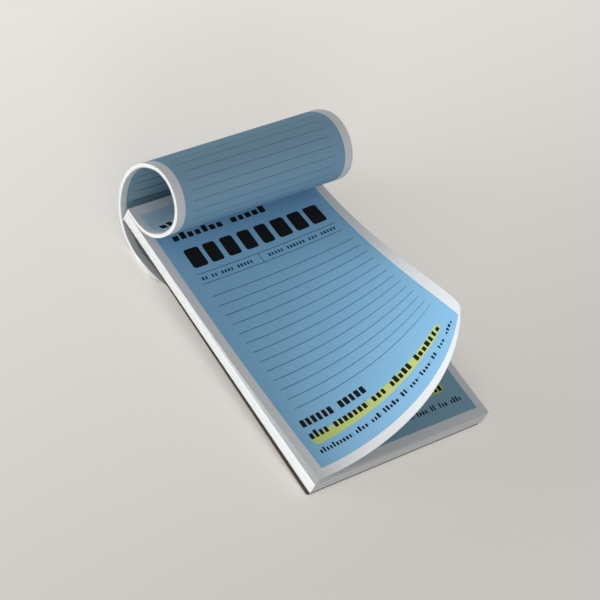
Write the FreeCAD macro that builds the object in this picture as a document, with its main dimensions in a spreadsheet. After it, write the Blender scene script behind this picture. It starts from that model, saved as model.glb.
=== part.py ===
import FreeCAD, Part
import math
import os
import Sketcher

# Top-glued half-letter notepad, used down to about its last eighty sheets.
# Some sheets are turned over the glued edge and loop round behind the pad. The page on top curls
# up at its lower right corner. The pad lies as it comes to rest: on the loop behind its top edge
# and on the lower edge of its backing board.
#
# Pad frame used for building: X across the page from its left edge, Y up the page with the glued
# edge at 0 and the lower edge at minus the page length, Z out of the page from the board's back.

SIZES = [
    ("page_width", 139.7, "half-letter page, across"),
    ("page_length", 215.9, "half-letter page, down"),
    ("board_thickness", 1.0, "chipboard backing"),
    ("board_overhang", 2.0, "how far the board shows past the pages at the lower left"),
    ("board_corner", 1.5, "rounding of the board's lower corners"),
    ("glued_height", 6.4, "stack of pages at the glued edge"),
    ("loose_height", 9.5, "the same stack at the free edge, where the pages have loosened"),
    ("loosening_share", 0.35, "part of the loosening that shows two thirds of the way down"),
    ("sheet_thickness", 0.1, "20 lb bond paper"),
    ("loose_thickness", 0.2, "two sheets that cling together, as the curled ones do"),
    ("loose_count", 3, "loose pairs of sheets between the stack and the top sheet"),
    ("sheet_gap", 0.04, "air between loose sheets where they lie flat"),
    ("fan_right", 0.9, "each loose sheet's step to the right at the lower left corner"),
    ("fan_up", 0.4, "each loose sheet's step up the page there"),
    ("fan_lift", 0.21, "each loose sheet's step out of the page there"),
    ("curl_corner_in", 41.5, "curled corner, moved in from the flat page's right edge"),
    ("curl_corner_up", 36.8, "curled corner, moved up from the flat page's lower edge"),
    ("curl_corner_lift", 86.4, "curled corner above the stack"),
    ("curl_edge_out", 2.2, "right edge's handle, outward"),
    ("curl_edge_lift", 40.0, "right edge's handle, above the stack"),
    ("curl_foot_lift", 48.2, "lower edge's handle, above the stack"),
    ("curl_belly_lift", 0.9, "inner handle, above the stack"),
    ("turned_thickness", 2.35, "bundle of turned sheets"),
    ("turned_seat", 0.3, "air under the bundle, where the curled page begins to push it up"),
    ("loop_rise_radius", 27.7, "first bend of the loop of a half-letter page"),
    ("loop_rise_angle", 52.0, "degrees"),
    ("loop_front_radius", 44.3, "front of the loop"),
    ("loop_front_angle", 19.9, "degrees"),
    ("loop_crown_radius", 22.65, "crown of the loop"),
    ("loop_crown_angle", 144.0, "degrees"),
    ("loop_back_radius", 40.3, "back of the loop"),
    ("loop_back_angle", 80.8, "degrees"),
    ("loop_belly_radius", 34.3, "belly of the loop behind the pad, round to the flat it lies on"),
    ("tail_length", 13.7, "outermost turned sheet beyond the loop"),
    ("tail_radius", 82.0, "bend of the innermost leaf of the turned sheets' tail"),
    ("tail_leaves", 5, "leaves that the tail fans into"),
    ("leaf_gap", 0.06, "slit between two leaves at its root"),
    ("inner_gap", 0.3, "air between the bundle and the turned sheet inside it"),
    ("film_thickness", 0.5, "dried padding compound over the glued edge"),
    ("edge_clearance", 0.6, "air between that film's lower edge and the turned sheets"),
]

doc = FreeCAD.newDocument("TopGluedNotepad")
sheet = doc.addObject("Spreadsheet::Sheet", "Sizes")
for row, (alias, value, note) in enumerate(SIZES, start=1):
    sheet.set("A%d" % row, note)
    sheet.set("B%d" % row, str(value))
    sheet.setAlias("B%d" % row, alias)
doc.recompute()


def size(alias):
    return float(sheet.get(alias))


WIDTH = size("page_width")
LENGTH = size("page_length")
BOARD_TOP = size("board_thickness")
LOOSE_COUNT = int(size("loose_count"))

nodes = []


def keep(feature, label):
    """Name the object that is written as a node."""
    feature.Label = label
    nodes.append(feature)
    return feature


def extrude_across(face, name, width_expression):
    """Extrude a closed profile in the YZ plane across the pad, to a width bound to the sheet."""
    profile = doc.addObject("Part::Feature", name + "_profile")
    profile.Shape = face
    strip = doc.addObject("Part::Extrusion", name)
    strip.Base = profile
    strip.DirMode = "Custom"
    strip.Dir = FreeCAD.Vector(1, 0, 0)
    strip.Solid = True
    strip.setExpression("LengthFwd", width_expression)
    return keep(strip, name)


# Backing board: a plate flush with the glued edge, whose left side runs out past the pages.
def backing_board():
    body = doc.addObject("PartDesign::Body", "backing_board")
    outline = body.newObject("Sketcher::SketchObject", "board_outline")
    for plane in body.Origin.OriginFeatures:
        if plane.Role == "XY_Plane":
            outline.AttachmentSupport = (plane, "")
    outline.MapMode = "FlatFace"
    shift = size("board_overhang")
    corners = [(0, 0), (WIDTH, 0), (WIDTH - shift, -LENGTH), (-shift, -LENGTH)]
    points = [FreeCAD.Vector(x, y, 0) for x, y in corners]
    for start, end in zip(points, points[1:] + points[:1]):
        outline.addGeometry(Part.LineSegment(start, end))
    for side in range(4):
        outline.addConstraint(Sketcher.Constraint("Coincident", side, 2, (side + 1) % 4, 1))
    outline.addConstraint(Sketcher.Constraint("Horizontal", 0))
    outline.addConstraint(Sketcher.Constraint("Horizontal", 2))
    outline.addConstraint(Sketcher.Constraint("Coincident", 0, 1, -1, 1))
    named = [
        ("top_side", ("DistanceX", 0, 1, 0, 2, WIDTH), "Sizes.page_width"),
        ("drop", ("DistanceY", 2, 2, 0, 1, LENGTH), "Sizes.page_length"),
        ("overhang", ("DistanceX", 2, 2, 0, 1, shift), "Sizes.board_overhang"),
        ("foot_side", ("DistanceX", 2, 2, 2, 1, WIDTH), "Sizes.page_width"),
    ]
    for name, values, cell in named:
        index = outline.addConstraint(Sketcher.Constraint(*values))
        outline.renameConstraint(index, name)
        outline.setExpression("Constraints." + name, cell)
    plate = body.newObject("PartDesign::Pad", "board_plate")
    plate.Profile = outline
    plate.setExpression("Length", "Sizes.board_thickness")
    doc.recompute()
    rounding = body.newObject("PartDesign::Fillet", "board_corners")
    upright = []
    for number, edge in enumerate(plate.Shape.Edges, start=1):
        ends = edge.BoundBox
        if ends.ZLength > 0.5 * BOARD_TOP and ends.YMax < -0.5 * LENGTH:
            upright.append("Edge%d" % number)
    rounding.Base = (plate, upright)
    rounding.setExpression("Radius", "Sizes.board_corner")
    return keep(body, "backing_board")


# Heights of the page stack above the board's back, at the glued edge, at one and two thirds of
# the way down and at the free edge. The stack's front is a cubic curve with these as its poles.
GLUED = size("glued_height")
LOOSENED = size("loose_height") - GLUED
STACK_HEIGHTS = [
    BOARD_TOP + GLUED,
    BOARD_TOP + GLUED,
    BOARD_TOP + GLUED + size("loosening_share") * LOOSENED,
    BOARD_TOP + GLUED + LOOSENED,
]
PITCH = size("loose_thickness") + size("sheet_gap")


def page_block():
    poles = [FreeCAD.Vector(0, -LENGTH * row / 3, STACK_HEIGHTS[row]) for row in range(4)]
    front = Part.BezierCurve()
    front.setPoles(poles)
    back_top = FreeCAD.Vector(0, 0, BOARD_TOP)
    back_foot = FreeCAD.Vector(0, -LENGTH, BOARD_TOP)
    outline = Part.Wire([
        Part.makeLine(back_top, poles[0]),
        front.toShape(),
        Part.makeLine(poles[3], back_foot),
        Part.makeLine(back_foot, back_top),
    ])
    return extrude_across(Part.Face(outline), "page_block", "Sizes.page_width")


# Single sheets: bicubic patches. Each is its own four by four net of poles, which lies on the
# stack's front and is moved where the sheet lifts, and a copy of it one thickness further down.
def resting_net(step):
    """Poles of the top face of the sheet that is this many steps above the stack."""
    net = []
    for row in range(4):
        line = []
        for column in range(4):
            height = STACK_HEIGHTS[row] + step * PITCH
            line.append(FreeCAD.Vector(WIDTH * column / 3, -LENGTH * row / 3, height))
        net.append(line)
    slide = [1.0, 0.65, 0.4, 0.2]
    for column, share in enumerate(slide):
        net[3][column] += FreeCAD.Vector(
            step * share * size("fan_right"),
            step * share * size("fan_up"),
            step * share * size("fan_lift"),
        )
    return net


def curled_net(step):
    """The same for the page on top, with its lower right corner curled up and inward."""
    net = resting_net(step)
    net[2][2] += FreeCAD.Vector(0, 0, size("curl_belly_lift"))
    net[2][3] += FreeCAD.Vector(size("curl_edge_out"), 0, size("curl_edge_lift"))
    net[3][2] += FreeCAD.Vector(0, 0, size("curl_foot_lift"))
    net[3][3] += FreeCAD.Vector(
        -size("curl_corner_in"), size("curl_corner_up"), size("curl_corner_lift"))
    return net


def patch(net):
    surface = Part.BezierSurface()
    surface.increase(3, 3)
    for row in range(4):
        for column in range(4):
            surface.setPole(row + 1, column + 1, net[row][column])
    return surface


def lowered(net, thickness):
    """Poles of the sheet's back: the front's, moved back along the local normal.

    A sheet may curl past upright, so only its flat upper left corner tells front from back."""
    front = patch(net)
    outward = math.copysign(1, front.normal(0, 0).z)
    back = []
    for row in range(4):
        line = []
        for column in range(4):
            normal = front.normal(row / 3, column / 3) * outward
            line.append(net[row][column] - normal * thickness)
        back.append(line)
    return back


def sheet_solid(net, thickness):
    front = patch(net)
    back = patch(lowered(net, thickness))
    faces = [front.toShape(), back.toShape()]
    for upper, lower in zip(sides(front), sides(back)):
        faces.append(Part.makeRuledSurface(upper, lower))
    shell = Part.makeShell(faces)
    shell.sewShape()
    solid = Part.makeSolid(shell)
    if solid.Volume < 0:
        solid.reverse()
    return solid


def sides(surface):
    curves = [surface.uIso(0), surface.vIso(1), surface.uIso(1), surface.vIso(0)]
    return [curve.toShape() for curve in curves]


def loose_sheets():
    for step in range(1, LOOSE_COUNT + 1):
        piece = doc.addObject("Part::Feature", "loose_sheet_%d" % step)
        piece.Shape = sheet_solid(resting_net(step), size("loose_thickness"))
        keep(piece, "loose_sheet_%d" % step)


def top_sheet():
    piece = doc.addObject("Part::Feature", "top_sheet")
    piece.Shape = sheet_solid(curled_net(LOOSE_COUNT + 1), size("loose_thickness"))
    keep(piece, "top_sheet")


# Turned sheets. Their outer side runs flat down the page from the glued edge, then round a loop of
# tangent arcs that goes back over the edge and behind the pad, to the flat that the pad lies on.
# Every other line of the bundle is that one at a constant distance inside it.
TURNED_FOOT = STACK_HEIGHTS[0] + (LOOSE_COUNT + 1) * PITCH + size("turned_seat")
INNER_SHEET_DEPTH = size("turned_thickness") + size("inner_gap")
INNERMOST_DEPTH = INNER_SHEET_DEPTH + size("sheet_thickness")
FIRST_BENDS = [
    (size("loop_rise_radius"), math.radians(size("loop_rise_angle"))),
    (size("loop_front_radius"), math.radians(size("loop_front_angle"))),
    (size("loop_crown_radius"), math.radians(size("loop_crown_angle"))),
    (size("loop_back_radius"), math.radians(size("loop_back_angle"))),
]


def bends(flat, tilt):
    """All bends of the loop. The last one turns until its end is level with the floor, and all
    of them are opened or drawn in together until the sheets are as long as the page."""
    turned = sum(turn for radius, turn in FIRST_BENDS)
    drawn = FIRST_BENDS + [(size("loop_belly_radius"), 2 * math.pi + tilt - turned)]
    path = sum(radius * turn for radius, turn in drawn)
    fit = (LENGTH - flat - size("tail_length")) / path
    return [(radius * fit, turn) for radius, turn in drawn]


def direction(heading):
    return FreeCAD.Vector(0, math.cos(heading), math.sin(heading))


def inward(heading):
    return FreeCAD.Vector(0, math.sin(heading), -math.cos(heading))


def bend_edge(start, heading, radius, turn):
    """An arc that turns right by an angle; also its end and the heading there."""
    centre = start + inward(heading) * radius
    middle = centre - inward(heading - turn / 2) * radius
    end = centre - inward(heading - turn) * radius
    return Part.Arc(start, middle, end).toShape(), end, heading - turn


def loop_line(depth, flat, tilt):
    """Edges of the line this deep inside the bundle, with its end point and heading."""
    start = FreeCAD.Vector(0, 0, TURNED_FOOT + depth)
    place = FreeCAD.Vector(0, -flat, TURNED_FOOT + depth)
    heading = math.pi
    edges = [Part.makeLine(start, place)]
    for radius, turn in bends(flat, tilt):
        edge, place, heading = bend_edge(place, heading, radius - depth, turn)
        edges.append(edge)
    return edges, place, heading


def settled():
    """How far the turned sheets lie flat on the page, and the angle between pad and floor.

    The flat leaves the named air behind the glued edge. The angle brings the loop and the board's
    lower edge onto one floor."""
    flat = size("glued_height")
    tilt = 0.0
    film_corner = FreeCAD.Vector(0, size("film_thickness"), 0)
    for repeat in range(60):
        edges, place, heading = loop_line(0.0, flat, tilt)
        tilt = math.atan2(-place.z, place.y + LENGTH)
        belly_radius = bends(flat, tilt)[-1][0]
        centre = place + inward(heading) * belly_radius
        air = belly_radius - INNERMOST_DEPTH - (film_corner - centre).Length
        flat += air - size("edge_clearance")
    return flat, tilt


FLAT, TILT = settled()


def tail_line(start, heading, depth, middle_depth, bend, reach):
    """One side of a leaf beyond the loop, as long as the sheet still reaches."""
    if bend == 0:
        end = start + direction(heading) * reach
        return Part.makeLine(start, end), end
    radius = 1 / bend + middle_depth - depth
    edge, end, heading = bend_edge(start, heading, radius, reach * bend)
    return edge, end


def strip_face(layers):
    """Profile of a bundle whose tail parts into leaves, each a (from, to, bend) in depth."""
    edges, place, heading = loop_line(layers[0][0], FLAT, TILT)
    for number, (outer, inner, bend) in enumerate(layers):
        middle = (outer + inner) / 2
        loop_length = FLAT + sum((radius - middle) * turn for radius, turn in bends(FLAT, TILT))
        reach = LENGTH - loop_length
        start = place + inward(heading) * (outer - layers[0][0])
        root = place + inward(heading) * (inner - layers[0][0])
        down, tip = tail_line(start, heading, outer, middle, bend, reach)
        up, tip_inside = tail_line(root, heading, inner, middle, bend, reach)
        edges += [down, Part.makeLine(tip, tip_inside), up]
        if number + 1 < len(layers):
            next_start = place + inward(heading) * (layers[number + 1][0] - layers[0][0])
            edges.append(Part.makeLine(root, next_start))
    inner_edges, inner_place, inner_heading = loop_line(layers[-1][1], FLAT, TILT)
    edges += inner_edges
    edges.append(Part.makeLine(edges[0].Vertexes[0].Point, inner_edges[0].Vertexes[0].Point))
    return Part.Face(Part.Wire(Part.__sortEdges__(edges)))


def turned_sheets():
    count = int(size("tail_leaves"))
    slit = size("leaf_gap")
    leaf = (size("turned_thickness") - (count - 1) * slit) / count
    layers = []
    for number in range(count):
        outer = number * (leaf + slit)
        bend = number / (count - 1) / size("tail_radius")
        layers.append((outer, outer + leaf, bend))
    extrude_across(strip_face(layers), "turned_sheets", "Sizes.page_width")


def turned_inner_sheet():
    layer = (INNER_SHEET_DEPTH, INNERMOST_DEPTH, 1 / size("tail_radius"))
    extrude_across(strip_face([layer]), "turned_inner_sheet", "Sizes.page_width")


# Padding compound: a thin dried film over the glued edge of the board, the pages and the turned
# sheets.
def padding_compound():
    film = doc.addObject("Part::Box", "padding_compound")
    film.setExpression("Length", "Sizes.page_width")
    film.setExpression("Width", "Sizes.film_thickness")
    film.setExpression(
        "Height",
        "Sizes.board_thickness + Sizes.glued_height + Sizes.turned_seat"
        " + (Sizes.loose_count + 1) * (Sizes.loose_thickness + Sizes.sheet_gap)"
        " + Sizes.turned_thickness + Sizes.inner_gap + Sizes.sheet_thickness",
    )
    keep(film, "padding_compound")


backing_board()
page_block()
loose_sheets()
top_sheet()
turned_sheets()
turned_inner_sheet()
padding_compound()
doc.recompute()

# Rest pose: every piece is tipped about the X axis by the same angle, then moved so that the
# whole part stands on Z = 0 with the middle of its footprint at the origin.
tipped = FreeCAD.Rotation(FreeCAD.Vector(1, 0, 0), math.degrees(TILT))
for node in nodes:
    node.Placement = FreeCAD.Placement(FreeCAD.Vector(0, 0, 0), tipped)
doc.recompute()
box = FreeCAD.BoundBox()
for node in nodes:
    box.add(node.Shape.optimalBoundingBox())
home = FreeCAD.Vector(-box.Center.x, -box.Center.y, -box.ZMin)
for node in nodes:
    node.Placement = FreeCAD.Placement(home, tipped)
doc.recompute()

for item in doc.Objects:
    if "Invalid" in item.State or "Error" in item.State:
        raise RuntimeError("%s did not build: %s" % (item.Label, item.State))
for node in nodes:
    if node.Shape.isNull() or not node.Shape.isValid():
        raise RuntimeError("%s has no valid shape" % node.Label)

os.makedirs("parts", exist_ok=True)
for node in nodes:
    node.Shape.exportStep("parts/%s.step" % node.Label)
    reach = node.Shape.optimalBoundingBox()
    print("%-20s volume %9.1f  Z %.2f to %.2f" % (node.Label, node.Shape.Volume, reach.ZMin, reach.ZMax))
print("flat %.2f mm, tilt %.3f degrees, box %.1f x %.1f x %.1f, home %s" % (
    FLAT, math.degrees(TILT), box.XLength, box.YLength, box.ZLength, home))
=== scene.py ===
import math
import random

import bpy
import numpy as np
from mathutils import Matrix, Quaternion, Vector


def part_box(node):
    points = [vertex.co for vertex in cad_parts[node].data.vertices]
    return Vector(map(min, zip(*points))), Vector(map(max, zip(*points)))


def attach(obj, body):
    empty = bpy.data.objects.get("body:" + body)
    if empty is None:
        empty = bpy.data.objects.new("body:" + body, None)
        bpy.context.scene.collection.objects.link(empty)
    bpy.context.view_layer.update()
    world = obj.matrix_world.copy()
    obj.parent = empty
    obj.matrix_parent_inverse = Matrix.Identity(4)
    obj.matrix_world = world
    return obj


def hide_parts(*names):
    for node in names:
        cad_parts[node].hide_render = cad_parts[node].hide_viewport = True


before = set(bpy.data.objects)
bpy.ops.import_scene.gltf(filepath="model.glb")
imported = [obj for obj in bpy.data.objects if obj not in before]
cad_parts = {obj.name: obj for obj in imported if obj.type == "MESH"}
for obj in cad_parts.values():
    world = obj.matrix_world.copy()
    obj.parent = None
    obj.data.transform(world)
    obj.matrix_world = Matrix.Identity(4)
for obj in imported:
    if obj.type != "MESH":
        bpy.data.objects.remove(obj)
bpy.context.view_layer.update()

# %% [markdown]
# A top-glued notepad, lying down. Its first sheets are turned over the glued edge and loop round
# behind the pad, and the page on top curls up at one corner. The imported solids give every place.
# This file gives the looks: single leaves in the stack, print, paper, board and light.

MM = 0.001

# %% [markdown]
# The pad has a frame of its own, in millimetres: X across the page from its left edge, Y up the
# page with the glued edge at zero, Z out of the page from the board's back. The loop lifts the
# glued edge, so this frame is tipped a few degrees. The board is a plain plate, so its box is
# enough to find how far the pad is tipped and where its corner lies.

# %% From the pad's frame to the room
PAGE_WIDTH = 139.7
PAGE_LENGTH = 215.9
BOARD_THICKNESS = 1.0
TILT_STEPS = 20
board_low, board_high = [np.array(corner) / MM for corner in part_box("backing_board")]
glued_y = board_high[1]
tilt = 0.0
for step in range(TILT_STEPS):
    glued_z = board_high[2] - BOARD_THICKNESS * math.cos(tilt)
    tilt = math.asin(glued_z / PAGE_LENGTH)
PAD_HOME = np.array([board_high[0] - PAGE_WIDTH, glued_y, glued_z])
TIPPED = np.array(Matrix.Rotation(tilt, 3, "X"))


def in_room(points):
    """Pad millimetres to room metres."""
    return (np.asarray(points, dtype=float) @ TIPPED.T + PAD_HOME) * MM


print("pad tipped by %.2f degrees, corner at" % math.degrees(tilt), PAD_HOME.round(2), "mm")

# %% [markdown]
# The camera is set up first, because every later choice is judged through it. The pad is seen
# from its lower left, from well above, with a long lens and with the camera rolled, so the page
# runs down the picture to the right.

# %% Camera
CAMERA_TARGET = (0.6, 2.6, 17.8)
CAMERA_DISTANCE = 1618.2
CAMERA_AZIMUTH = math.radians(-55.22)
CAMERA_ELEVATION = math.radians(46.03)
CAMERA_ROLL = math.radians(26.18)
FOCAL_LENGTH = 155.72
NEAR_CLIP = 0.05
FAR_CLIP = 50

back = Vector((
    math.sin(CAMERA_AZIMUTH) * math.cos(CAMERA_ELEVATION),
    -math.cos(CAMERA_AZIMUTH) * math.cos(CAMERA_ELEVATION),
    math.sin(CAMERA_ELEVATION),
))
lens = bpy.data.cameras.new("camera")
lens.lens = FOCAL_LENGTH
lens.clip_start = NEAR_CLIP
lens.clip_end = FAR_CLIP
camera = bpy.data.objects.new("camera", lens)
bpy.context.scene.collection.objects.link(camera)
camera.location = Vector(CAMERA_TARGET) * MM + back * CAMERA_DISTANCE * MM
camera.rotation_mode = "QUATERNION"
level = (-back).to_track_quat("-Z", "Y")
camera.rotation_quaternion = level @ Quaternion((0, 0, 1), CAMERA_ROLL)
bpy.context.scene.camera = camera
print("camera at", [round(c, 3) for c in camera.location])

# %% [markdown]
# Paper is thin but not flat: each leaf is a closed sheet with a front, a back and a rim. One
# small class gathers the leaves of a piece, so that sixty of them can share one object. Every
# point keeps its place on the page in millimetres, and the print is drawn from that.

# %% A gatherer of leaves
FRONT, BACK, RIM = 0, 1, 2
CREASE_ANGLE = math.radians(35)


class Leaves:
    """Closed thin sheets, gathered into one mesh with page millimetres as its UV map."""

    def __init__(self):
        self.points = []
        self.page = []
        self.faces = []
        self.finish = []

    def add(self, front, back, page):
        """front and back are rows by columns of pad points, page is where they are on the page."""
        rows, columns = front.shape[:2]
        first = len(self.points)
        for side in (front, back):
            self.points.extend(in_room(side.reshape(-1, 3)))
            self.page.extend(page.reshape(-1, 2))
        upper = first + np.arange(rows * columns).reshape(rows, columns)
        lower = upper + rows * columns
        for row in range(rows - 1):
            for column in range(columns - 1):
                ring = (
                    (row, column), (row + 1, column), (row + 1, column + 1), (row, column + 1))
                self.faces.append([upper[at] for at in ring])
                self.finish.append(FRONT)
                self.faces.append([lower[at] for at in reversed(ring)])
                self.finish.append(BACK)
        border = [(row, 0) for row in range(rows)]
        border += [(rows - 1, column) for column in range(1, columns)]
        border += [(row, columns - 1) for row in range(rows - 2, -1, -1)]
        border += [(0, column) for column in range(columns - 2, 0, -1)]
        for here, there in zip(border, border[1:] + border[:1]):
            self.faces.append([upper[there], upper[here], lower[here], lower[there]])
            self.finish.append(RIM)

    def build(self, name, materials):
        """Make the object, in the room's metres, riding on the part."""
        mesh = bpy.data.meshes.new(name)
        mesh.from_pydata(self.points, [], [[int(v) for v in face] for face in self.faces])
        layer = mesh.uv_layers.new(name="page")
        corners = np.empty(len(mesh.loops), dtype=np.int32)
        mesh.loops.foreach_get("vertex_index", corners)
        layer.uv.foreach_set("vector", np.array(self.page)[corners].astype(np.float32).ravel())
        for material in materials:
            mesh.materials.append(material)
        mesh.polygons.foreach_set("material_index", self.finish)
        mesh.shade_smooth()
        mesh.set_sharp_from_angle(angle=CREASE_ANGLE)
        mesh.update()
        piece = bpy.data.objects.new(name, mesh)
        bpy.context.scene.collection.objects.link(piece)
        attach(piece, "root")
        print("%s: %d faces" % (name, len(mesh.polygons)))
        return piece


# %% [markdown]
# Materials come next. The first helper turns a hex colour, as a colour picker shows it, into the
# linear values that the renderer works in. The second adds one node, with its settings and what
# feeds it. The third starts a material, with its shader linked up. Print is drawn with many sums,
# so the settings of each kind of sum have a short name.

# %% Helpers for materials


def colour(hex_code):
    """sRGB hex to a linear colour."""
    parts = [int(hex_code[i:i + 2], 16) / 255 for i in (1, 3, 5)]
    linear = [c / 12.92 if c <= 0.04045 else ((c + 0.055) / 1.055) ** 2.4 for c in parts]
    return (*linear, 1.0)


def add_node(tree, kind, settings=None, links=None):
    """Add a node. links gives its inputs, by name or in order. Each is a value, a socket or a
    node, whose first output is then taken."""
    node = tree.nodes.new(kind)
    for name, value in (settings or {}).items():
        setattr(node, name, value)
    inputs = links.items() if isinstance(links, dict) else enumerate(links or [])
    for name, value in inputs:
        if isinstance(value, bpy.types.Node):
            value = value.outputs[0]
        if isinstance(value, bpy.types.NodeSocket):
            tree.links.new(value, node.inputs[name])
        else:
            node.inputs[name].default_value = value
    return node


MIX = "ShaderNodeMix"
COLOURS = {"data_type": "RGBA"}
MATH = "ShaderNodeMath"
ADD = {"operation": "ADD"}
SUBTRACT = {"operation": "SUBTRACT"}
MULTIPLY = {"operation": "MULTIPLY"}
MULTIPLY_ADD = {"operation": "MULTIPLY_ADD"}
DIVIDE = {"operation": "DIVIDE"}
ABSOLUTE = {"operation": "ABSOLUTE"}
FLOOR = {"operation": "FLOOR"}
FRACT = {"operation": "FRACT"}
ROUND = {"operation": "ROUND"}
MINIMUM = {"operation": "MINIMUM"}
MAXIMUM = {"operation": "MAXIMUM"}
LESS_THAN = {"operation": "LESS_THAN"}
GREATER_THAN = {"operation": "GREATER_THAN"}


def new_material(name):
    """An empty node material with its shader linked up."""
    material = bpy.data.materials.new(name)
    material.use_nodes = True
    tree = material.node_tree
    tree.nodes.clear()
    shader = add_node(tree, "ShaderNodeBsdfPrincipled")
    add_node(tree, "ShaderNodeOutputMaterial", links={"Surface": shader.outputs[0]})
    return material, tree, shader


# %% [markdown]
# The print. On the real page it is one pass of blue ink that stops a quarter inch short of every
# edge, with black and blue-black marks over it. It could be an image, but drawn from page
# millimetres it stays sharp at any size. The marks are plain shapes: rounded blocks stand for
# words, so nothing can be read. A band across the page is a test of Y, a row of words is a ramp
# along X that switches between ink and no ink, and noise gives each block its width and height.

# %% Layout of the print, in millimetres from the page's upper left corner
BORDER = 6.35
TURNED_BORDER = 4.4
RULE_WEIGHT = 0.42
STRIP_RULES = (57.4, 65.0)
STRIP_ENDS = (17.0, 126.4)
DIVIDER_X = 64.6
MARKER_START = (16.8, 191.0)
MARKER_END = (117.6, 187.2)
MARKER_HALF = 3.6

# Ruling: first line, pitch, number of lines, left and right end. The turned sheets and the backs
# are ruled closer than the page on top.
PAGE_RULING = (75.2, 7.62, 13, 17.0, 127.6)
TURNED_RULING = (78.2, 6.5, 19, 10.5, 125.0)
BACK_RULING = (13.0, 6.5, 30, 13.0, 124.6)

# Lines of blocks: left and right end, top and foot of the tall blocks, top of the low ones, a
# block's share of its place, and how many blocks make up each word.
TITLE_LINE = (17.0, 90.0, 25.2, 30.4, 26.6, 0.84, [7, 5])
TURNED_TITLE_LINE = (9.4, 82.4, 18.8, 24.6, 20.0, 0.84, [7, 5])
NAME_LINE = (18.0, 124.4, 38.0, 52.8, 38.0, 0.88, [8])
STRIP_LEFT_LINE = (18.2, 57.6, 60.1, 62.5, 60.1, 0.7, [2, 2, 4, 5])
STRIP_RIGHT_LINE = (70.4, 123.4, 60.1, 62.5, 60.1, 0.7, [5, 6, 3, 5])
NOTE_LINE = (13.6, 61.2, 175.2, 180.6, 175.2, 0.82, [6, 5])
MARKED_LINE = (13.4, 119.6, 184.4, 189.9, 185.8, 0.78, [4, 7, 3, 5, 7])
SMALL_LINE = (13.0, 127.4, 197.0, 200.9, 198.3, 0.66, [10, 4, 3, 5, 2, 3, 4, 2, 3, 4])
TALL_SHARE = 0.35
WIDTH_SCATTER = 0.3
CORNER_SHARE = 0.16


def within(tree, value, low, high):
    """One between two limits, zero outside them."""
    above = add_node(tree, MATH, GREATER_THAN, [value, low])
    below = add_node(tree, MATH, LESS_THAN, [value, high])
    return add_node(tree, MATH, MULTIPLY, [above, below])


def either(tree, first, second):
    """One where either mask is one."""
    return add_node(tree, MATH, MAXIMUM, [first, second])


def within_reach(tree, aside, above, reach):
    """One where a place is no further than this from a middle rectangle or line."""
    aside = add_node(tree, MATH, MAXIMUM, [aside, 0.0])
    above = add_node(tree, MATH, MAXIMUM, [above, 0.0])
    aside_square = add_node(tree, MATH, MULTIPLY, [aside, aside])
    above_square = add_node(tree, MATH, MULTIPLY, [above, above])
    squares = add_node(tree, MATH, ADD, [aside_square, above_square])
    return add_node(tree, MATH, LESS_THAN, [squares, reach ** 2])


def block_line(tree, across, down, line):
    """Words of plain blocks with soft corners. A stepped ramp tells words from spaces, a saw tooth
    cuts them into places, and two throws of dice for each place set its block's width and height."""
    left, right, tall_top, foot, low_top, share, words = line
    places = sum(words) + len(words) - 1
    pitch = (right - left) / (places - 1 + share)
    along = add_node(tree, MATH, DIVIDE, [add_node(tree, MATH, SUBTRACT, [across, left]), pitch])
    gone = add_node(tree, MATH, DIVIDE, [along, places])
    ramp = add_node(tree, "ShaderNodeValToRGB", links={"Fac": gone})
    steps = ramp.color_ramp
    steps.interpolation = "CONSTANT"
    steps.elements[0].color = (1, 1, 1, 1)
    steps.elements[1].color = (0, 0, 0, 1)
    place = 0
    for blocks in words[:-1]:
        place += blocks
        steps.elements.new(place / places).color = (0, 0, 0, 1)
        place += 1
        steps.elements.new(place / places).color = (1, 1, 1, 1)
    number = add_node(tree, MATH, FLOOR, [along])
    thrown = add_node(
        tree, "ShaderNodeTexWhiteNoise", {"noise_dimensions": "1D"}, {"W": number}).outputs
    width_throw = add_node(tree, "ShaderNodeSeparateColor", links={0: thrown["Color"]}).outputs[1]
    half_width = add_node(tree, MATH, MULTIPLY_ADD, [
        width_throw, -WIDTH_SCATTER * share * pitch / 2, share * pitch / 2])
    tall = add_node(tree, MATH, LESS_THAN, [thrown["Value"], TALL_SHARE])
    half_height = add_node(tree, MATH, MULTIPLY_ADD, [
        tall, (low_top - tall_top) / 2, (foot - low_top) / 2])
    corner = CORNER_SHARE * share * pitch
    inside = add_node(tree, MATH, MULTIPLY, [add_node(tree, MATH, FRACT, [along]), pitch])
    aside = add_node(tree, MATH, ABSOLUTE, [
        add_node(tree, MATH, SUBTRACT, [inside, share * pitch / 2])])
    aside = add_node(tree, MATH, SUBTRACT, [
        aside, add_node(tree, MATH, SUBTRACT, [half_width, corner])])
    above = add_node(tree, MATH, SUBTRACT, [foot, add_node(tree, MATH, ADD, [down, half_height])])
    above = add_node(tree, MATH, SUBTRACT, [add_node(tree, MATH, ABSOLUTE, [above]), half_height])
    above = add_node(tree, MATH, ADD, [above, corner])
    block = within_reach(tree, aside, above, corner)
    ink = add_node(tree, MATH, MULTIPLY, [block, ramp.outputs["Color"]])
    return add_node(tree, MATH, MULTIPLY, [ink, within(tree, along, 0.0, places)])


def ruled_lines(tree, across, down, ruling):
    """Lines at an even pitch, one where a point is on the nearest of them."""
    first, pitch, count, left, right = ruling
    line = add_node(tree, MATH, DIVIDE, [add_node(tree, MATH, SUBTRACT, [down, first]), pitch])
    near = add_node(tree, MATH, ROUND, [line])
    off = add_node(tree, MATH, ABSOLUTE, [add_node(tree, MATH, SUBTRACT, [line, near])])
    ink = add_node(tree, MATH, LESS_THAN, [off, RULE_WEIGHT / pitch / 2])
    real = within(tree, near, -0.5, count - 0.5)
    long = within(tree, across, left, right)
    return add_node(tree, MATH, MULTIPLY, [ink, add_node(tree, MATH, MULTIPLY, [real, long])])


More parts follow.
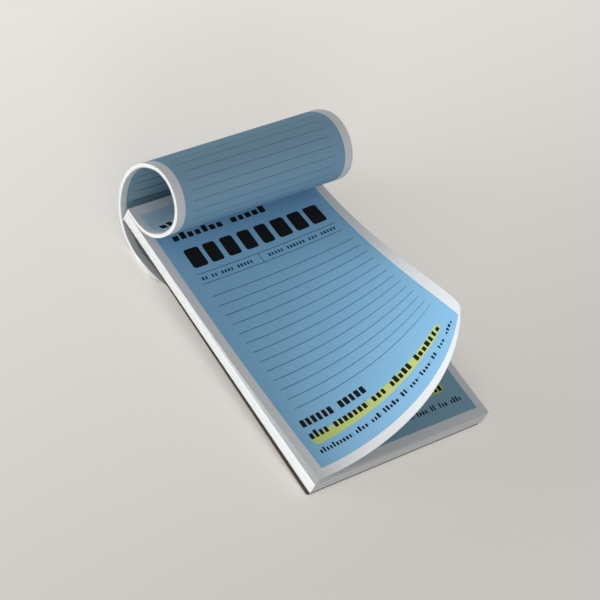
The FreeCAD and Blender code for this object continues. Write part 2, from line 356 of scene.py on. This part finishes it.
def marker_stroke(tree, across, down):
    """A hand-drawn stroke, a little out of level, with round ends."""
    run = MARKER_END[0] - MARKER_START[0]
    slope = (MARKER_END[1] - MARKER_START[1]) / run
    on_line = add_node(tree, "ShaderNodeClamp", links={
        "Value": across, "Min": MARKER_START[0], "Max": MARKER_END[0]}).outputs[0]
    level = add_node(tree, MATH, MULTIPLY_ADD, [
        on_line, slope, MARKER_START[1] - slope * MARKER_START[0]])
    aside = add_node(tree, MATH, ABSOLUTE, [add_node(tree, MATH, SUBTRACT, [across, on_line])])
    above = add_node(tree, MATH, ABSOLUTE, [add_node(tree, MATH, SUBTRACT, [down, level])])
    return within_reach(tree, aside, above, MARKER_HALF)


# %% [markdown]
# Bond paper is the white of unprinted stock: uncoated, matt and very slightly fibrous. Its fibres
# are a few hundredths of a millimetre wide, too fine for the render, so they are drawn some ten
# times coarser, as a faint mottle in colour and height. Ink sinks into such paper and stays matt.
# A printer would use one blue. The loose pages, the turned sheets and the backs look greyer on the
# pad than the page on top, so each has a blue of its own, fitted by comparing renders with the
# photograph. These greyer blues are the one ink with painted shade in it. The turned fronts also
# carry painted light, drawn paler near the glued edge to look more as they do in the loop.

# %% Bond paper, printed on an offset press
PAPER_WHITE = "#E9EBEC"
PAPER_SHADE = "#E1E3E5"
FRONT_BLUES = ("#86BBDF", "#8CC0E3")
# The next three blues are the front's one ink, made greyer with painted shade.
BACK_SHADED_BLUES = ("#84ABC4", "#8AB1C9")
LOOSE_SHADED_BLUES = ("#86AFC3", "#8BB4C7")
TURNED_SHADED_BLUES = ("#86A6B8", "#8CACBE")
# Painted light: the turned fronts' blue turns to this paler one near the glued edge.
PAINTED_LIGHT_BLUE = "#BCD8EA"
PAINTED_LIGHT_END = 55.0
PAINTED_LIGHT_START = 25.0
INK_RULE = "#1D4560"
INK_FAINT_RULE = "#5F8296"
INK_BLACK = "#0B0C0F"
INK_MARKER = "#C3D27E"
FIBRE_SIZE = 0.5
MOTTLE_SIZE = 9.0
MOTTLE_DETAIL = 2.0
NOISE_ROUGHNESS = 0.6
FIBRE_BUMP = 0.12
FIBRE_HEIGHT = 0.05
PAPER_ROUGHNESS = 0.82
PAPER_IOR = 1.45
PAPER_SPECULAR = 0.35


def fibres(tree, size, detail=3.0):
    """Noise with features of about this many millimetres, in the solid paper."""
    place = add_node(tree, "ShaderNodeTexCoord").outputs["Object"]
    noise = add_node(tree, "ShaderNodeTexNoise", links={
        "Vector": place, "Scale": 1 / (size * MM), "Detail": detail, "Roughness": NOISE_ROUGHNESS})
    return noise.outputs["Fac"]


def page_position(tree):
    """Millimetres across and down the page."""
    page = add_node(tree, "ShaderNodeUVMap", {"uv_map": "page"})
    split = add_node(tree, "ShaderNodeSeparateXYZ", links={0: page.outputs[0]})
    return split.outputs["X"], split.outputs["Y"]


def printed_paper(name, ink_and_shade_blues, layout, field_left=BORDER, painted_light_at_glue=False):
    """Matt white bond with the blue field, and the marks that layout draws on it. The blue can
    carry painted shade, and painted light near the glued edge.
    """
    material, tree, shader = new_material(name)
    across, down = page_position(tree)
    fine = fibres(tree, FIBRE_SIZE)
    broad = fibres(tree, MOTTLE_SIZE, MOTTLE_DETAIL)
    paper = add_node(tree, MIX, COLOURS, {
        0: broad, 6: colour(PAPER_SHADE), 7: colour(PAPER_WHITE)}).outputs[2]
    blue = add_node(tree, MIX, COLOURS, {
        0: broad, 6: colour(ink_and_shade_blues[0]), 7: colour(ink_and_shade_blues[1])}).outputs[2]
    # Painted light: between these two distances the blue fades to a paler one towards the glued
    # edge.
    if painted_light_at_glue:
        share = add_node(tree, "ShaderNodeMapRange", {"interpolation_type": "SMOOTHSTEP"}, {
            "Value": down, "From Min": PAINTED_LIGHT_END, "From Max": PAINTED_LIGHT_START}).outputs[0]
        blue = add_node(tree, MIX, COLOURS, {0: share, 6: blue, 7: colour(PAINTED_LIGHT_BLUE)}).outputs[2]
    field = add_node(tree, MATH, MULTIPLY, [
        within(tree, across, field_left, PAGE_WIDTH - BORDER),
        within(tree, down, BORDER, PAGE_LENGTH - BORDER)])
    surface = add_node(tree, MIX, COLOURS, {0: field, 6: paper, 7: blue}).outputs[2]
    for ink, mask in layout(tree, across, down):
        surface = add_node(tree, MIX, COLOURS, {0: mask, 6: surface, 7: colour(ink)}).outputs[2]
    tree.links.new(surface, shader.inputs["Base Color"])
    bump = add_node(tree, "ShaderNodeBump", links={
        "Height": fine, "Strength": FIBRE_BUMP, "Distance": FIBRE_HEIGHT * MM})
    tree.links.new(bump.outputs[0], shader.inputs["Normal"])
    shader.inputs["Roughness"].default_value = PAPER_ROUGHNESS
    shader.inputs["IOR"].default_value = PAPER_IOR
    shader.inputs["Specular IOR Level"].default_value = PAPER_SPECULAR
    return material


def front_marks(tree, across, down):
    """What the front of a page carries, from the first ink to the last."""
    thin = ruled_lines(tree, across, down, PAGE_RULING)
    for height in STRIP_RULES:
        band = within(tree, down, height - RULE_WEIGHT / 2, height + RULE_WEIGHT / 2)
        band = add_node(tree, MATH, MULTIPLY, [band, within(tree, across, *STRIP_ENDS)])
        thin = either(tree, thin, band)
    upright = add_node(tree, MATH, MULTIPLY, [
        within(tree, across, DIVIDER_X - RULE_WEIGHT / 2, DIVIDER_X + RULE_WEIGHT / 2),
        within(tree, down, *STRIP_RULES)])
    thin = either(tree, thin, upright)
    for line in (STRIP_LEFT_LINE, STRIP_RIGHT_LINE):
        thin = either(tree, thin, block_line(tree, across, down, line))
    bold = block_line(tree, across, down, TITLE_LINE)
    for line in (NAME_LINE, NOTE_LINE, MARKED_LINE, SMALL_LINE):
        bold = either(tree, bold, block_line(tree, across, down, line))
    return [
        (INK_MARKER, marker_stroke(tree, across, down)),
        (INK_RULE, thin),
        (INK_BLACK, bold),
    ]


def turned_front_marks(tree, across, down):
    """The front of a turned sheet: a title near the glued edge, then closer ruling."""
    return [
        (INK_RULE, ruled_lines(tree, across, down, TURNED_RULING)),
        (INK_BLACK, block_line(tree, across, down, TURNED_TITLE_LINE)),
    ]


def back_marks(tree, across, down):
    """The back is ruled from top to bottom, and its ink is fainter."""
    return [(INK_FAINT_RULE, ruled_lines(tree, across, down, BACK_RULING))]


front_paper = printed_paper("bond paper printed front", FRONT_BLUES, front_marks)
# The next three papers carry painted shade in their blues, and the turned front painted light as
# well.
loose_paper = printed_paper("bond paper printed loose front", LOOSE_SHADED_BLUES, front_marks)
turned_paper = printed_paper(
    "bond paper printed turned front", TURNED_SHADED_BLUES, turned_front_marks, TURNED_BORDER,
    painted_light_at_glue=True)
back_paper = printed_paper("bond paper ruled back", BACK_SHADED_BLUES, back_marks)
print("print:", PAGE_RULING[2], "rules on a page, every", PAGE_RULING[1], "mm")

# %% [markdown]
# A cut edge of paper is whiter and softer than its face, because the knife leaves fibres standing.

# %% Bond paper, guillotined edge
CUT_WHITES = ("#E0E2E2", "#EDEEED")
CUT_FIBRE_SIZE = 0.35
CUT_FIBRE_DETAIL = 2.0
CUT_ROUGHNESS = 0.9
CUT_SPECULAR = 0.25


def cut_paper(name):
    """Unprinted paper, rougher than its face."""
    material, tree, shader = new_material(name)
    fine = fibres(tree, CUT_FIBRE_SIZE, CUT_FIBRE_DETAIL)
    shade = add_node(tree, MIX, COLOURS, {
        0: fine, 6: colour(CUT_WHITES[0]), 7: colour(CUT_WHITES[1])}).outputs[2]
    tree.links.new(shade, shader.inputs["Base Color"])
    shader.inputs["Roughness"].default_value = CUT_ROUGHNESS
    shader.inputs["IOR"].default_value = PAPER_IOR
    shader.inputs["Specular IOR Level"].default_value = CUT_SPECULAR
    return material


edge_paper = cut_paper("bond paper cut edge")
print("made", edge_paper.name)

# %% [markdown]
# The stack under the page on top. The source has it as one solid, because its leaves don't move.
# Here it is cut into its single leaves, each trimmed a hair differently, so that its edges are
# not quite flat. The leaves lie tight at the glued edge and have loosened towards the free edge.
# Each leaf's back lies just above the leaf below, so a leaf thickens where the stack has opened
# and the cut edges look solid white, as they do from a step away.

# %% The stack's height along the page
GLUED_HEIGHT = 6.4
LOOSE_HEIGHT = 9.5
LOOSENING_SHARE = 0.35
SHEET = 0.1
PAIR = 0.2
PITCH = 0.24
LOOSE_COUNT = 3
STACK_POLES = np.array([
    BOARD_THICKNESS + GLUED_HEIGHT,
    BOARD_THICKNESS + GLUED_HEIGHT,
    BOARD_THICKNESS + GLUED_HEIGHT + LOOSENING_SHARE * (LOOSE_HEIGHT - GLUED_HEIGHT),
    BOARD_THICKNESS + LOOSE_HEIGHT,
])


def cubic(t):
    """The four weights of a cubic curve's poles at t."""
    t = np.asarray(t, dtype=float)
    return np.stack([(1 - t) ** 3, 3 * t * (1 - t) ** 2, 3 * t * t * (1 - t), t ** 3], axis=-1)


# %% Stack of single leaves
LEAF_COUNT = 64
LEAF_AIR = 0.004
TRIM_SCATTER = 0.14
CUTS_ALONG = 25
OPENING_POWER = 4
LEAST_OPENING = 0.05
dice = random.Random(7)


def stack_of_leaves():
    """All leaves from the board up. A few of them open much more than the rest."""
    down = np.linspace(0, 1, CUTS_ALONG)
    top = cubic(down) @ STACK_POLES
    loosened = top - STACK_POLES[0]
    air = np.array([dice.random() ** OPENING_POWER + LEAST_OPENING for leaf in range(LEAF_COUNT)])
    opened = np.cumsum(air) / air.sum()
    leaves = Leaves()
    ceiling = np.full(CUTS_ALONG, BOARD_THICKNESS)
    for leaf in range(LEAF_COUNT):
        floor = ceiling + LEAF_AIR
        ceiling = BOARD_THICKNESS + SHEET * (leaf + 1) + loosened * opened[leaf]
        left = dice.random() * TRIM_SCATTER
        right = PAGE_WIDTH - dice.random() * TRIM_SCATTER
        foot = PAGE_LENGTH - dice.random() * TRIM_SCATTER
        across = np.array([left, right])
        page = np.stack(np.meshgrid(across, down * foot), axis=-1)
        front = np.stack([page[..., 0], -page[..., 1], np.repeat(ceiling[:, None], 2, 1)], axis=-1)
        back = front.copy()
        back[..., 2] = floor[:, None]
        leaves.add(front, back, page)
    return leaves


block = stack_of_leaves().build("stack_of_pages", [front_paper, back_paper, edge_paper])
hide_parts("page_block")

# %% [markdown]
# The loose sheets and the curled page are curved in two directions, which a bicubic patch gives
# with sixteen poles: four along each side and four inside. At rest the poles lie on the stack,
# fanned a little along the lower edge. The curl moves four of them, at the lower right, and the
# rest of the page follows smoothly. The print of the loose pages sits a little off, so that the
# layers don't line up to the millimetre.

# %% Loose sheets and the curled page
FAN = np.array([0.9, 0.4, 0.21])
FAN_SHARES = np.array([1.0, 0.65, 0.4, 0.2])
CURL_BELLY = (0.0, 0.0, 0.9)
CURL_EDGE = (2.2, 0.0, 40.0)
CURL_FOOT = (0.0, 0.0, 48.2)
CURL_CORNER = (-41.5, 36.8, 86.4)
PATCH_ROWS, PATCH_COLUMNS = 73, 49
PRINT_SHIFT = (0.9, 0.3)


def resting_poles(step):
    """Poles of the top side of the sheet this many steps above the stack."""
    poles = np.zeros((4, 4, 3))
    for row in range(4):
        for column in range(4):
            poles[row, column] = (
                PAGE_WIDTH * column / 3, -PAGE_LENGTH * row / 3, STACK_POLES[row] + step * PITCH)
    poles[3] += step * FAN_SHARES[:, None] * FAN
    return poles


def curled_poles(step):
    """The same, with the lower right corner curled up and inward."""
    poles = resting_poles(step)
    poles[2, 2] += CURL_BELLY
    poles[2, 3] += CURL_EDGE
    poles[3, 2] += CURL_FOOT
    poles[3, 3] += CURL_CORNER
    return poles


def patch_sheet(poles, thickness, print_shift=(0.0, 0.0)):
    """Front, back and page places of a sheet on a bicubic patch."""
    down = np.linspace(0, 1, PATCH_ROWS)
    across = np.linspace(0, 1, PATCH_COLUMNS)
    front = np.einsum("ri,cj,ijk->rck", cubic(down), cubic(across), poles)
    normal = np.cross(np.gradient(front, axis=1), -np.gradient(front, axis=0))
    normal /= np.linalg.norm(normal, axis=-1, keepdims=True)
    page = np.stack(np.meshgrid(across * PAGE_WIDTH, down * PAGE_LENGTH), axis=-1)
    return front, front - normal * thickness, page - print_shift


for step in range(1, LOOSE_COUNT + 1):
    leaves = Leaves()
    leaves.add(*patch_sheet(resting_poles(step), PAIR, PRINT_SHIFT))
    loose = leaves.build("loose_page_%d" % step, [loose_paper, back_paper, edge_paper])
    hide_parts("loose_sheet_%d" % step)

leaves = Leaves()
leaves.add(*patch_sheet(curled_poles(LOOSE_COUNT + 1), PAIR))
curled = leaves.build("curled_page", [front_paper, back_paper, edge_paper])
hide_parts("top_sheet")

# %% [markdown]
# The turned sheets start at the glued edge, on top of the page, and run round a loop of tangent
# arcs to the flat that the pad lies on. Every sheet of the bundle follows the same line at its
# own depth, so the inner ones have the shorter way round and reach further under the pad, where
# they fan out. That is how a real bundle behaves, and it costs one loop in code. The sizes repeat
# the source's, and TURNED_FLAT is the flat that its own solution comes to.

# %% Line of the loop
TURNED_SEAT = 0.3
TURNED_THICKNESS = 2.35
TURNED_FLAT = 7.89
TAIL_LENGTH = 13.7
TAIL_RADIUS = 82.0
INNER_GAP = 0.3
FIRST_BENDS = [(27.7, 52.0), (44.3, 19.9), (22.65, 144.0), (40.3, 80.8)]
BELLY_RADIUS = 34.3
TURNED_FOOT = STACK_POLES[0] + (LOOSE_COUNT + 1) * PITCH + TURNED_SEAT
BEND_STEP = math.radians(2.5)
FLAT_PIECES = 6


def loop_bends():
    """Radii and angles, opened or drawn in together until a sheet is as long as the page."""
    drawn = [(radius, math.radians(angle)) for radius, angle in FIRST_BENDS]
    last = 2 * math.pi + tilt - sum(angle for radius, angle in drawn)
    drawn.append((BELLY_RADIUS, last))
    path = sum(radius * angle for radius, angle in drawn)
    fit = (PAGE_LENGTH - TURNED_FLAT - TAIL_LENGTH) / path
    return [(radius * fit, angle) for radius, angle in drawn]


def turned_line(depth, tail_bend):
    """Points (Y, Z) of one side of a sheet, and how far along the sheet each one is."""
    place = np.array([0.0, TURNED_FOOT + depth])
    heading = math.pi
    points = [place]
    gone = [0.0]

    def run(length, bend, deeper):
        """Go on for a length of the outermost side, turning right with this bend."""
        nonlocal place, heading
        pieces = max(1, round(length * bend / BEND_STEP)) if bend else FLAT_PIECES
        for piece in range(pieces):
            turn = length * bend / pieces
            step = length / pieces - turn * deeper
            heading -= turn / 2
            chord = step * (math.sin(turn / 2) / (turn / 2) if turn else 1)
            place = place + chord * np.array([math.cos(heading), math.sin(heading)])
            heading -= turn / 2
            points.append(place)
            gone.append(gone[-1] + step)

    run(TURNED_FLAT, 0.0, depth)
    for radius, angle in loop_bends():
        run(radius * angle, 1 / radius, depth)
    run(PAGE_LENGTH - gone[-1], tail_bend, 0.0)
    return np.array(points), np.array(gone)


# %% Bundle of turned sheets
TURNED_COUNT = 20
TURNED_AIR = 0.012


def turned_leaf(outer, thickness, tail_bend, left, right):
    """Front, back and page places of one turned sheet. Its front is the hollow side."""
    outside = turned_line(outer, tail_bend)[0]
    inside, gone = turned_line(outer + thickness, tail_bend)
    count = min(len(outside), len(inside))
    gone = gone[:count]
    across = np.array([left, PAGE_WIDTH * 0.5, right])
    page = np.stack(np.meshgrid(across, gone * PAGE_LENGTH / gone[-1]), axis=-1)
    sides = []
    for line in (inside[:count], outside[:count]):
        sides.append(np.stack([
            page[..., 0], np.repeat(line[:, :1], 3, 1), np.repeat(line[:, 1:], 3, 1)], axis=-1))
    return sides[0], sides[1], page


def turned_bundle():
    """All turned sheets but the innermost, each bent a little more at the tail than the last."""
    leaves = Leaves()
    pitch = TURNED_THICKNESS / TURNED_COUNT
    for number in range(TURNED_COUNT):
        bend = number / (TURNED_COUNT - 1) / TAIL_RADIUS
        left = dice.random() * TRIM_SCATTER
        right = PAGE_WIDTH - dice.random() * TRIM_SCATTER
        leaves.add(*turned_leaf(number * pitch, pitch - TURNED_AIR, bend, left, right))
    return leaves


bundle = turned_bundle().build("turned_bundle", [turned_paper, back_paper, edge_paper])
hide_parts("turned_sheets")

leaves = Leaves()
leaves.add(*turned_leaf(
    TURNED_THICKNESS + INNER_GAP, SHEET, 1 / TAIL_RADIUS, 0.0, PAGE_WIDTH))
inner = leaves.build("innermost_turned_page", [turned_paper, back_paper, edge_paper])
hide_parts("turned_inner_sheet")

# %% [markdown]
# The backing is chipboard: grey-brown recycled fibre pressed into a sheet, with specks of older
# paper in it. The specks are real and a third of a millimetre or so across.

# %% Chipboard, calendered
BOARD_BROWNS = ("#463C35", "#544940")
BOARD_SPECK = "#70645A"
BOARD_FIBRE_SIZE = 0.6
BOARD_FIBRE_DETAIL = 4.0
BOARD_CLOUD_SIZE = 14.0
SPECK_LIMITS = (0.58, 0.7)
BOARD_BUMP = 0.3
BOARD_RELIEF = 0.1
BOARD_ROUGHNESS = 0.85


def dress(node_name, material):
    """Give a solid its finish."""
    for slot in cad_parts[node_name].material_slots:
        slot.material = material
    print(node_name, "is", material.name)


def chipboard(name):
    """Brown fibre board with paler specks."""
    material, tree, shader = new_material(name)
    fine = fibres(tree, BOARD_FIBRE_SIZE, BOARD_FIBRE_DETAIL)
    broad = fibres(tree, BOARD_CLOUD_SIZE)
    base = add_node(tree, MIX, COLOURS, {
        0: broad, 6: colour(BOARD_BROWNS[0]), 7: colour(BOARD_BROWNS[1])}).outputs[2]
    speck = add_node(tree, "ShaderNodeMapRange", links={
        "Value": fine, "From Min": SPECK_LIMITS[0], "From Max": SPECK_LIMITS[1]})
    base = add_node(tree, MIX, COLOURS, {
        0: speck.outputs[0], 6: base, 7: colour(BOARD_SPECK)}).outputs[2]
    tree.links.new(base, shader.inputs["Base Color"])
    bump = add_node(tree, "ShaderNodeBump", links={
        "Height": fine, "Strength": BOARD_BUMP, "Distance": BOARD_RELIEF * MM})
    tree.links.new(bump.outputs[0], shader.inputs["Normal"])
    shader.inputs["Roughness"].default_value = BOARD_ROUGHNESS
    shader.inputs["IOR"].default_value = PAPER_IOR
    return material


dress("backing_board", chipboard("chipboard calendered"))

# %% [markdown]
# Padding compound is brushed on as a white glue and dries to a milky rubbery skin with a low
# gloss. The brush leaves long shallow ridges across the pad.

# %% Padding compound, brushed and dried
FILM_WHITES = ("#D9DBD8", "#E9EAE7")
BRUSH_STRETCH = (0.08, 1, 1)
BRISTLE_SPACING = 1.2
BRISTLE_DETAIL = 2.0
FILM_BUMP = 0.35
FILM_RELIEF = 0.15
FILM_ROUGHNESS = 0.38
FILM_IOR = 1.48


def padding_skin(name):
    """Dried white glue with brush ridges along X."""
    material, tree, shader = new_material(name)
    place = add_node(tree, "ShaderNodeTexCoord").outputs["Object"]
    along = add_node(tree, "ShaderNodeMapping", links={"Vector": place, "Scale": BRUSH_STRETCH})
    noise = add_node(tree, "ShaderNodeTexNoise", links={
        "Vector": along, "Scale": 1 / (BRISTLE_SPACING * MM), "Detail": BRISTLE_DETAIL})
    ridges = noise.outputs["Fac"]
    shade = add_node(tree, MIX, COLOURS, {
        0: ridges, 6: colour(FILM_WHITES[0]), 7: colour(FILM_WHITES[1])}).outputs[2]
    tree.links.new(shade, shader.inputs["Base Color"])
    bump = add_node(tree, "ShaderNodeBump", links={
        "Height": ridges, "Strength": FILM_BUMP, "Distance": FILM_RELIEF * MM})
    tree.links.new(bump.outputs[0], shader.inputs["Normal"])
    shader.inputs["Roughness"].default_value = FILM_ROUGHNESS
    shader.inputs["IOR"].default_value = FILM_IOR
    return material


dress("padding_compound", padding_skin("padding compound brushed"))

# %% [markdown]
# The room is a pale floor that runs on into a background of the same colour. The floor takes the
# pad's soft shadow. The rest of its brightness is a glow shown to the camera only, so that no extra
# light reaches the paper. The glow rises a little towards +Y, between two limits.

# %% Floor and background
ROOM_PALE = "#DEDAD4"
FLOOR_PALE = "#E2DFD9"
FLOOR_REACH = 6.0
FLOOR_ROUGHNESS = 0.9
FLOOR_SPECULAR = 0.1
FLOOR_GLOW = 0.45
GLOW_RISE = 0.7
GLOW_LIMITS = (0.33, 0.65)


def pale_floor():
    """A square floor round the part."""
    signs = [(-1, -1), (1, -1), (1, 1), (-1, 1)]
    mesh = bpy.data.meshes.new("floor")
    mesh.from_pydata([(x * FLOOR_REACH, y * FLOOR_REACH, 0) for x, y in signs], [], [(0, 1, 2, 3)])
    floor = bpy.data.objects.new("floor", mesh)
    bpy.context.scene.collection.objects.link(floor)
    material, tree, shader = new_material("floor pale")
    shader.inputs["Base Color"].default_value = colour(FLOOR_PALE)
    shader.inputs["Roughness"].default_value = FLOOR_ROUGHNESS
    shader.inputs["Specular IOR Level"].default_value = FLOOR_SPECULAR
    seen = add_node(tree, "ShaderNodeLightPath").outputs["Is Camera Ray"]
    place = add_node(tree, "ShaderNodeTexCoord").outputs["Object"]
    further = add_node(tree, "ShaderNodeSeparateXYZ", links={0: place}).outputs["Y"]
    rising = add_node(tree, MATH, MULTIPLY_ADD, [further, GLOW_RISE, FLOOR_GLOW])
    rising = add_node(tree, MATH, MINIMUM, [rising, GLOW_LIMITS[1]])
    rising = add_node(tree, MATH, MAXIMUM, [rising, GLOW_LIMITS[0]])
    glow = add_node(tree, "ShaderNodeEmission", links={
        "Color": colour(ROOM_PALE), "Strength": add_node(tree, MATH, MULTIPLY, [seen, rising])})
    both = add_node(tree, "ShaderNodeAddShader", links={0: shader.outputs[0], 1: glow.outputs[0]})
    output = [n for n in tree.nodes if n.type == "OUTPUT_MATERIAL"][0]
    tree.links.new(both.outputs[0], output.inputs["Surface"])
    mesh.materials.append(material)


pale_floor()
print("floor glows from", GLOW_LIMITS[0], "to", GLOW_LIMITS[1])

# %% [markdown]
# The light comes from the left, low over the page: the cut edges on that side are almost white,
# the flat page is less than half as bright, and the curl, which leans towards the lamp, is bright
# again. A large soft lamp does this. A weaker one, low in front, lifts the lower edge, and an even
# sky fills the shadows.

# %% Lamps and sky
SKY_WHITE = "#F7F7F8"
LAMP_AZIMUTH = math.radians(-103)
LAMP_ELEVATION = math.radians(3.5)
LAMP_DISTANCE = 4.0
LAMP_SIZE = (2.4, 0.5)
LAMP_POWER = 134.0
FILL_AZIMUTH = math.radians(-35)
FILL_ELEVATION = math.radians(20)
FILL_POWER = 32.0
SKY = 0.35


def soft_lamp(name, azimuth, elevation, power):
    """A large rectangle of light that faces the origin and isn't seen itself."""
    light = bpy.data.lights.new(name, "AREA")
    light.shape = "RECTANGLE"
    light.size, light.size_y = LAMP_SIZE
    light.energy = power
    lamp = bpy.data.objects.new(name, light)
    lamp.visible_camera = False
    bpy.context.scene.collection.objects.link(lamp)
    aim = Vector((
        math.sin(azimuth) * math.cos(elevation),
        -math.cos(azimuth) * math.cos(elevation),
        math.sin(elevation)))
    lamp.location = aim * LAMP_DISTANCE
    lamp.rotation_mode = "QUATERNION"
    lamp.rotation_quaternion = (-aim).to_track_quat("-Z", "Y")


def even_sky():
    """Light from all round, which the camera sees as the room's colour."""
    world = bpy.data.worlds.new("even sky")
    world.use_nodes = True
    tree = world.node_tree
    tree.nodes.clear()
    path = add_node(tree, "ShaderNodeLightPath")
    light = add_node(tree, "ShaderNodeBackground", links={
        "Color": colour(SKY_WHITE), "Strength": SKY})
    seen = add_node(tree, "ShaderNodeBackground", links={
        "Color": colour(ROOM_PALE), "Strength": 1.0})
    choice = add_node(tree, "ShaderNodeMixShader", links={
        0: path.outputs["Is Camera Ray"], 1: light.outputs[0], 2: seen.outputs[0]})
    add_node(tree, "ShaderNodeOutputWorld", links={"Surface": choice.outputs[0]})
    bpy.context.scene.world = world


soft_lamp("soft lamp", LAMP_AZIMUTH, LAMP_ELEVATION, LAMP_POWER)
soft_lamp("fill lamp", FILL_AZIMUTH, FILL_ELEVATION, FILL_POWER)
even_sky()
print("lamps:", LAMP_POWER, "W and", FILL_POWER, "W, sky", SKY)
bpy.context.scene.view_settings.view_transform = "Standard"
